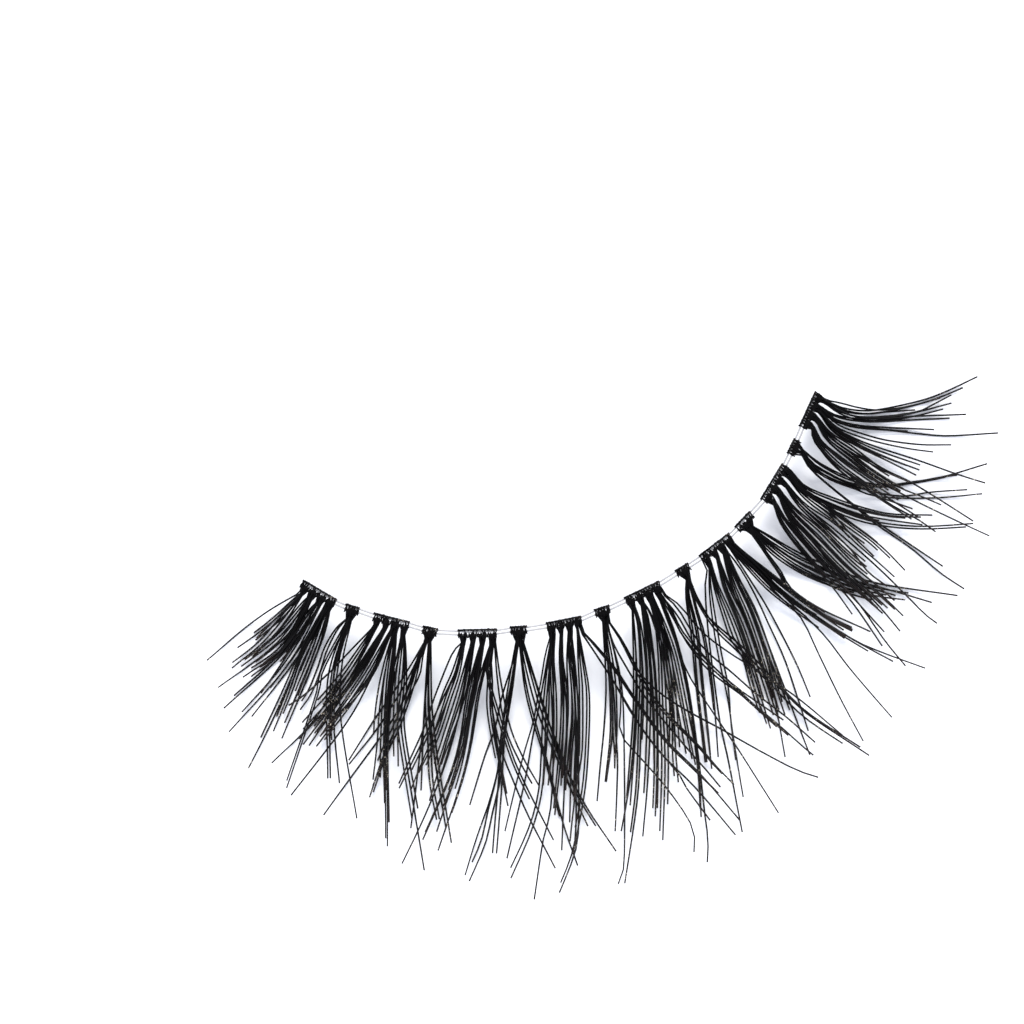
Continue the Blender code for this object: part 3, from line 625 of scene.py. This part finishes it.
        Wisp(4, 2, THICK, ((840, 408), (860, 412), (880, 411), (920, 402), (945, 393)),
             (978, 378), 2, 0),
        Wisp(4, 1, THICK, ((840, 410), (860, 414), (885, 412)), (915, 410), 0, 0),
        Wisp(4, 1, THICK, ((840, 411), (860, 417), (890, 416), (920, 411), (932, 405)),
             (951, 395), 0, 0),
        Wisp(4, 2, THICK, ((840, 413), (862, 419), (890, 418), (915, 414)), (952, 405), 2, 0),
    ),
}
print("wisps:", sum(len(rows) for rows in WISPS.values()))
print("fibres:", sum(wisp.fibres for rows in WISPS.values() for wisp in rows))

# %% [markdown]
# Each fibre needs a path. On the real strip a fibre is folded over the two threads, runs down to
# the waist of its tuft, sweeps down to the table and curls up again at the tip. On plan its path
# is a smooth curve through the chart places of its wisp. Its height follows the same curve as the
# solids: down to the lowest point at about two thirds of its length, and a little up to the tip.

# %% The path of one fibre
MOUTH_WIDTH = 0.92            # share of its part of the knot that a tuft grows from
MOUTH_DEPTH = 0.38
WAIST_SHARE = 0.028           # width of the waist for each fibre of the tuft
WAIST_DEPTH = 0.60
WAIST_DROP = 0.10
FOLD_DEPTH = 0.16             # where a fibre starts, above or below the threads
FOLD_HEIGHT = 0.13
LIP_HEIGHT = 0.11             # the same at the front of the knot
WAIST_STRAY = 0.1             # how far a fibre strays across the waist, as a share of its width
WAIST_THICKNESS = 0.07        # and how far up or down, in millimetres
BELLY = 0.68                  # share of the length at which a fibre lies lowest
BELLY_STRAY = 0.05
LAYER_STEP = 0.44
LAYER_RISE = 0.33             # share of the length in which a wisp rises to its layer
FINE_STEPS = 24               # points between two chart places while a curve is measured
PATH_POINTS = 28
PARTING = 0.40                # share of the length at which fibres lie side by side
PITCH = 1.45                  # their spacing there, in thicknesses
STRAY = 1.1                   # how far a fibre leaves its place by its tip, in spacings
SHORTER = 0.28                # the shortest fibre of a wisp lacks up to this share of its length
WAVE = 0.5                    # chart units that a fibre sways off its path
SWAY_TURN = 7.0               # radians the sway goes through from root to tip
FAN_POWER = 1.3               # a higher power fans a wisp out later
LIFT = 0.05                   # height between fibres of one wisp that lie over each other
chance = random.Random(3)


def smooth_through(points, steps):
    """Points of a smooth curve through the given ones, evenly along it."""
    ends = [2 * points[0] - points[1], *points, 2 * points[-1] - points[-2]]
    fine = []
    for a, b, c, d in zip(ends, ends[1:], ends[2:], ends[3:]):
        for step in range(FINE_STEPS):
            t = step / FINE_STEPS
            fine.append(((2 * b) + (c - a) * t + (2 * a - 5 * b + 4 * c - d) * t ** 2
                         + (3 * b - a - 3 * c + d) * t ** 3) / 2)
    fine.append(points[-1])
    run = [0.0]
    for a, b in zip(fine, fine[1:]):
        run.append(run[-1] + (b - a).length)
    even, at = [], 0
    for step in range(steps):
        wanted = run[-1] * step / (steps - 1)
        while at < len(run) - 2 and run[at + 1] < wanted:
            at += 1
        span = run[at + 1] - run[at]
        even.append(fine[at].lerp(fine[at + 1], (wanted - run[at]) / span if span else 0.0))
    return even


def wisp_width(wisp, t):
    """Width of a wisp in millimetres, a share t along it: first side by side, then fanned out."""
    side_by_side = PITCH * wisp.fibres * wisp.thickness
    risen = 1 - (1 - min(1.0, t / PARTING)) ** 2
    fanned = max(0.0, (t - PARTING) / (1 - PARTING)) ** FAN_POWER
    wider = max(0.0, wisp.fan * UNIT - side_by_side)
    return side_by_side * risen + wider * fanned


def tuft_middle(knot, tuft):
    return (tuft - 0.5) / knot.tufts * knot_length(knot)


def tuft_fibres(knot, tuft):
    """The fibres of one tuft from left to right, each as its wisp and its number in the wisp."""
    to_knot = knot_frame(knot).inverted()

    def heading(fibre):
        wisp, number = fibre
        place = to_knot @ on_plan((*wisp.passes, wisp.tip)[0])
        aside = (number + 0.5) / wisp.fibres - 0.5
        return (place.x - tuft_middle(knot, tuft) + aside * wisp_width(wisp, PARTING)) / -place.y

    wisps = [wisp for wisp in WISPS[knot.name] if wisp.tuft == tuft]
    return sorted(((wisp, number) for wisp in wisps for number in range(wisp.fibres)),
                  key=heading)


def fibre_path(knot, wisp, number, rank):
    """The path of one fibre, in metres, from its fold over the threads to its tip.

    The rank is its place in its tuft, from -0.5 at the left to 0.5 at the right.
    """
    frame_of_knot = knot_frame(knot)
    middle = tuft_middle(knot, wisp.tuft)
    aside = (number + 0.5) / wisp.fibres - 0.5
    above = 1 if number % 2 else -1
    across = MOUTH_WIDTH * knot_length(knot) / knot.tufts * rank
    fold = frame_of_knot @ Vector((middle + across, -FOLD_DEPTH, above * FOLD_HEIGHT))
    lip = frame_of_knot @ Vector((middle + across, -MOUTH_DEPTH, above * LIP_HEIGHT))
    crowd = sum(other.fibres for other in WISPS[knot.name] if other.tuft == wisp.tuft)
    squeezed = WAIST_SHARE * crowd * ((1 - WAIST_STRAY) * rank
                                      + chance.uniform(-WAIST_STRAY, WAIST_STRAY))
    waist = frame_of_knot @ Vector((middle + squeezed, -WAIST_DEPTH,
                                    -WAIST_DROP + chance.uniform(-WAIST_THICKNESS,
                                                                 WAIST_THICKNESS)))
    places = [on_plan(place) for place in (*wisp.passes, wisp.tip)]
    plan = smooth_through([Vector((waist.x, waist.y, 0.0)), *places], PATH_POINTS)
    kept = 1.0 if number == wisp.fibres // 2 else 1 - SHORTER * chance.random()
    stray = STRAY * chance.uniform(-0.5, 0.5) / wisp.fibres if wisp.fibres > 1 else 0.0
    sway = chance.uniform(-1, 1) * WAVE * UNIT
    phase = chance.uniform(0, 2 * math.pi)
    lowest = wisp.thickness / 2 + LIFT * (number % 3)
    belly = BELLY + chance.uniform(-BELLY_STRAY, BELLY_STRAY)
    path = [fold, lip]
    for step, point in enumerate(plan):
        t = step / (PATH_POINTS - 1)
        before, after = plan[max(step - 1, 0)], plan[min(step + 1, PATH_POINTS - 1)]
        heading = (after - before).normalized()
        side = Vector((-heading.y, heading.x, 0.0))
        offset = (aside + stray * t) * wisp_width(wisp, t)
        offset += sway * t * math.sin(SWAY_TURN * t + phase)
        height = lowest + (1 - t / belly) ** 2 * (waist.z - lowest)
        height += wisp.layer * LAYER_STEP * min(1.0, t / LAYER_RISE)
        spot = point + side * offset
        path.append(Vector((spot.x, spot.y, height)))
    last = max(4, round(len(path) * kept))
    return [point * MM for point in path[:last]]


sample = fibre_path(KNOTS[0], WISPS["long_lash_1"][0], 0, 0.0)
print("a path of", len(sample), "points ends at", [round(1000 * c, 2) for c in sample[-1]])

# %% [markdown]
# Now each path becomes a curve, and a copy of the straight fibre is bent along it by a Curve
# modifier. The modifier stretches the rod to the length of the curve, and takes its thickness
# from the radius of the curve's points. Once it is applied, the curve is thrown away. The fibres
# of one knot are joined into one piece, which will stand for that knot's solid.

# %% Bend a copy of the fibre along each path


def bent_fibre(rod, path, thickness):
    """A copy of the rod bent along the path, of that thickness in millimetres."""
    guide = bpy.data.curves.new("guide", "CURVE")
    guide.dimensions = "3D"
    guide.use_stretch = True
    guide.use_deform_bounds = True
    spline = guide.splines.new("POLY")
    spline.points.add(len(path) - 1)
    for knob, point in zip(spline.points, path):
        knob.co = (*point, 1.0)
        knob.radius = thickness / FIBRE_THICKNESS
    route = bpy.data.objects.new("route", guide)
    fibre = rod.copy()
    fibre.data = rod.data.copy()
    for made in (route, fibre):
        bpy.context.scene.collection.objects.link(made)
    bend = fibre.modifiers.new("bend", "CURVE")
    bend.object = route
    bend.deform_axis = "POS_X"
    bpy.context.view_layer.objects.active = fibre
    bpy.ops.object.modifier_apply(modifier="bend")
    bpy.data.objects.remove(route)
    bpy.data.curves.remove(guide)
    return fibre


def joined(pieces, name):
    """The pieces as one object of that name."""
    deselect_all()
    for piece in pieces:
        piece.select_set(True)
    bpy.context.view_layer.objects.active = pieces[0]
    bpy.ops.object.join()
    pieces[0].name = name
    pieces[0].data.name = name
    return pieces[0]


lashes = {}
for knot in KNOTS:
    fibres = []
    for tuft in range(1, knot.tufts + 1):
        ordered = tuft_fibres(knot, tuft)
        for place, (wisp, number) in enumerate(ordered):
            rank = (place + 0.5) / len(ordered) - 0.5
            path = fibre_path(knot, wisp, number, rank)
            fibres.append(bent_fibre(rod, path, wisp.thickness))
    lashes[knot.name] = joined(fibres, knot.name + "_fibres")
    print(knot.name, len(fibres), "fibres,", len(lashes[knot.name].data.polygons), "faces")

# %% [markdown]
# A knot is the fibre itself, wound round both threads. One turn is modelled as a ring: a torus,
# pressed oval to the knot's depth and height. Copies of it stand side by side along the knot,
# each leaning to one side or the other. In some knots turns are missing, and there the threads
# glint between the rest. Two twisted strands lie along the back edge.

# %% Wind the knots
TURN_THICKNESS = 0.085
TURN_SEGMENTS = 14            # pieces a turn has round the threads
TURN_SIDES = 5
SCALLOP = 0.30                # share by which turns are smaller between two tufts
UNEVEN = 0.9                  # how far a turn strays along the knot, in spacings
LEANS = (0.6, 1.3)            # least and most lean of a turn, as a share of its winding's
SIZES = (0.94, 1.02)          # least and most size of a turn
FEWEST_TURNS = 4

# Whole turns go round both threads. Front turns go round the outer thread and the fibres' folds.
Winding = namedtuple("Winding", "spacing near far height lean")
WHOLE_TURNS = Winding(0.075, -0.07, 0.42, 0.40, 18.0)
FRONT_TURNS = Winding(0.065, 0.08, 0.50, 0.36, 14.0)

# Share of the whole turns that are missing, so that the threads show
OPEN_KNOTS = {"long_lash_1": 0.50, "long_lash_2": 0.50, "long_lash_3": 0.70, "long_lash_6": 0.40,
              "short_lash_6": 0.40, "long_lash_7": 0.35}
OTHER_KNOTS = 0.06

# The two strands along the back edge
EDGE_THICKNESS = 0.10
EDGE_DEPTH = -0.05
EDGE_HEIGHT = 0.13
EDGE_WAVE = 0.03
EDGE_STEP = 0.09
EDGE_UNEVEN = (0.4, 1.6)      # least and most of the wave
FEWEST_STEPS = 12


def wound_turn(winding):
    """One oval turn of fibre, standing across the X axis and centred on the origin."""
    deselect_all()
    depth = winding.far - winding.near
    bpy.ops.mesh.primitive_torus_add(
        major_segments=TURN_SEGMENTS, minor_segments=TURN_SIDES,
        major_radius=(depth - TURN_THICKNESS) / 2 * MM, minor_radius=TURN_THICKNESS / 2 * MM,
        rotation=(0, math.pi / 2, 0))
    turn = bpy.context.object
    bpy.ops.object.transform_apply(location=True, rotation=True, scale=True)
    bpy.ops.object.mode_set(mode="EDIT")
    bpy.ops.mesh.select_all(action="SELECT")
    bpy.ops.transform.resize(value=(1.0, 1.0, winding.height / depth))
    bpy.ops.object.mode_set(mode="OBJECT")
    bpy.ops.object.shade_smooth()
    turn.data.uv_layers.active.name = "UVMap"
    for loop in turn.data.uv_layers.active.data:
        loop.uv = (0.1, loop.uv[1])
    turn.data.materials.append(fibre_finish)
    return turn


def knot_turns(knot, turn, winding, missing):
    """The turns of one winding on one knot, each a copy in its place, but for those missing."""
    length = knot_length(knot)
    count = max(FEWEST_TURNS, round(length / winding.spacing))
    turns = []
    for number in range(count):
        if 0 < number < count - 1 and chance.random() < missing:
            continue
        lean = math.radians(winding.lean * (1 if number % 2 else -1) * chance.uniform(*LEANS))
        along = number + UNEVEN * chance.uniform(-0.5, 0.5)
        along = min(max(along / (count - 1), 0.0), 1.0)
        middle = TURN_THICKNESS / 2 + along * (length - TURN_THICKNESS)
        in_tuft = middle / length * knot.tufts % 1.0
        size = chance.uniform(*SIZES) * (1 - SCALLOP * abs(2 * in_tuft - 1))
        depth = winding.near + (winding.far - winding.near) / 2 * size
        place = (Matrix.Translation((middle, -depth, 0.0)) @ Matrix.Rotation(lean, 4, "Z")
                 @ Matrix.Scale(size, 4))
        placed = knot_frame(knot) @ place
        placed.translation *= MM
        ring = turn.copy()
        ring.data = turn.data.copy()
        ring.data.transform(placed)
        bpy.context.scene.collection.objects.link(ring)
        turns.append(ring)
    return turns


def edge_strand(rod, knot, phase):
    """A strand along the back of a knot. Two of them, half a turn apart, are twisted together."""
    length = knot_length(knot)
    steps = max(FEWEST_STEPS, round(length / EDGE_STEP))
    path = []
    for step in range(steps + 1):
        along = length * step / steps
        angle = math.pi / 2 * step + phase
        wave = EDGE_WAVE * chance.uniform(*EDGE_UNEVEN)
        depth = EDGE_DEPTH + wave * math.cos(angle)
        height = EDGE_HEIGHT + wave * math.sin(angle)
        path.append(knot_frame(knot) @ Vector((along, -depth, height)) * MM)
    return bent_fibre(rod, path, EDGE_THICKNESS)


whole_turn = wound_turn(WHOLE_TURNS)
front_turn = wound_turn(FRONT_TURNS)
for knot in KNOTS:
    missing = OPEN_KNOTS.get(knot.name, OTHER_KNOTS)
    turns = (knot_turns(knot, whole_turn, WHOLE_TURNS, missing)
             + knot_turns(knot, front_turn, FRONT_TURNS, 0.0))
    strands = [edge_strand(rod, knot, phase) for phase in (0.0, math.pi)]
    lashes[knot.name] = joined([lashes[knot.name], *turns, *strands], knot.name + "_fibres")
    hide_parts(knot.name)
    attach(lashes[knot.name], "root")
for spare in (whole_turn, front_turn, rod):
    bpy.data.objects.remove(spare)
print("knots wound")

# %% [markdown]
# The two threads are clear nylon, drawn thin as hair and a little milky. Their grey is partly
# that milkiness and partly painted shade for the light the clear thread bends at its edges, so
# that they look pale grey on white. The slow change between darker and paler, every 0.2 mm or so,
# is painted refraction.

# %% Finish of the threads
REFRACTION_STREAK_SPACING = 0.2
material, tree, shader = new_material("clear_nylon_thread_milky_painted_refraction")
place = add_node(tree, "ShaderNodeTexCoord")
# Painted refraction: slow darker and paler streaks in place of the light the clear thread bends
painted_refraction_streaks = add_node(tree, "ShaderNodeTexNoise",
                   {"Scale": 1.0 / (REFRACTION_STREAK_SPACING * MM), "Detail": 2.0},
                   {"Vector": place.outputs["Object"]})
# A grey that is partly the thread's milkiness and partly painted shade at its edges
milk_and_painted_refraction = add_node(tree, "ShaderNodeValToRGB", {}, {"Fac": painted_refraction_streaks.outputs["Fac"]})
ramp_colours(milk_and_painted_refraction, ((0.0, "a4a4a6"), (1.0, "c6c4c2")))
tree.links.new(milk_and_painted_refraction.outputs["Color"], shader.inputs["Base Color"])
shader.inputs["Roughness"].default_value = 0.2
shader.inputs["IOR"].default_value = 1.53
shader.inputs["Transmission Weight"].default_value = 0.25
thread_finish = material

# %% [markdown]
# Each thread runs through all the knots. Its path is a line through two points inside each knot,
# where it lies a little deeper, and the knot's two ends. The line gets a round section and is
# made a mesh.

# %% Draw the threads
THREAD_DIAMETER = 0.09
THREAD_DEPTHS = {"inner_thread": 0.0, "outer_thread": 0.19}
THREAD_SAG = 0.05             # how much deeper a thread lies inside a knot


def drawn_thread(name, depth):
    points = []
    for knot in KNOTS:
        frame_of_knot = knot_frame(knot)
        for share, sag in ((0.0, 0.0), (0.2, THREAD_SAG), (0.8, THREAD_SAG), (1.0, 0.0)):
            along = share * knot_length(knot)
            points.append(frame_of_knot @ Vector((along, -depth - sag, 0.0)))
    curve = bpy.data.curves.new(name, "CURVE")
    curve.dimensions = "3D"
    curve.bevel_depth = THREAD_DIAMETER / 2 * MM
    curve.bevel_resolution = 2
    curve.use_fill_caps = True
    spline = curve.splines.new("POLY")
    spline.points.add(len(points) - 1)
    for knob, point in zip(spline.points, points):
        knob.co = (*(point * MM), 1.0)
    thread = bpy.data.objects.new(name + "_drawn", curve)
    bpy.context.scene.collection.objects.link(thread)
    deselect_all()
    thread.select_set(True)
    bpy.context.view_layer.objects.active = thread
    bpy.ops.object.convert(target="MESH")
    thread = bpy.context.object
    bpy.ops.object.shade_smooth()
    thread.data.materials.clear()
    thread.data.materials.append(thread_finish)
    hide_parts(name)
    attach(thread, "root")
    return thread


for name, depth in THREAD_DEPTHS.items():
    thread = drawn_thread(name, depth)
    print(thread.name, len(thread.data.polygons), "faces")

# %% [markdown]
# The studio has one soft lamp high behind the band, at the top of the picture: the knots are
# 2.8 mm up and their shadows fall about as far in front of them. The lamp is a sun with a wide
# disc, so the shadows have soft edges. All round is an even white light that fills them.

# %% Light
LAMP_ELEVATION = 50.0
LAMP_DISC = 20.0
bpy.ops.object.light_add(type="SUN", rotation=(math.radians(LAMP_ELEVATION - 90), 0, 0))
lamp = bpy.context.object
lamp.name = "soft_lamp"
lamp.data.angle = math.radians(LAMP_DISC)
lamp.data.energy = 1.9
lamp.data.color = linear("fffdf8")[:3]
world = bpy.data.worlds.new("studio")
world.use_nodes = True
world.node_tree.nodes["Background"].inputs["Color"].default_value = linear("ecf0fb")
world.node_tree.nodes["Background"].inputs["Strength"].default_value = 1.42
bpy.context.scene.world = world
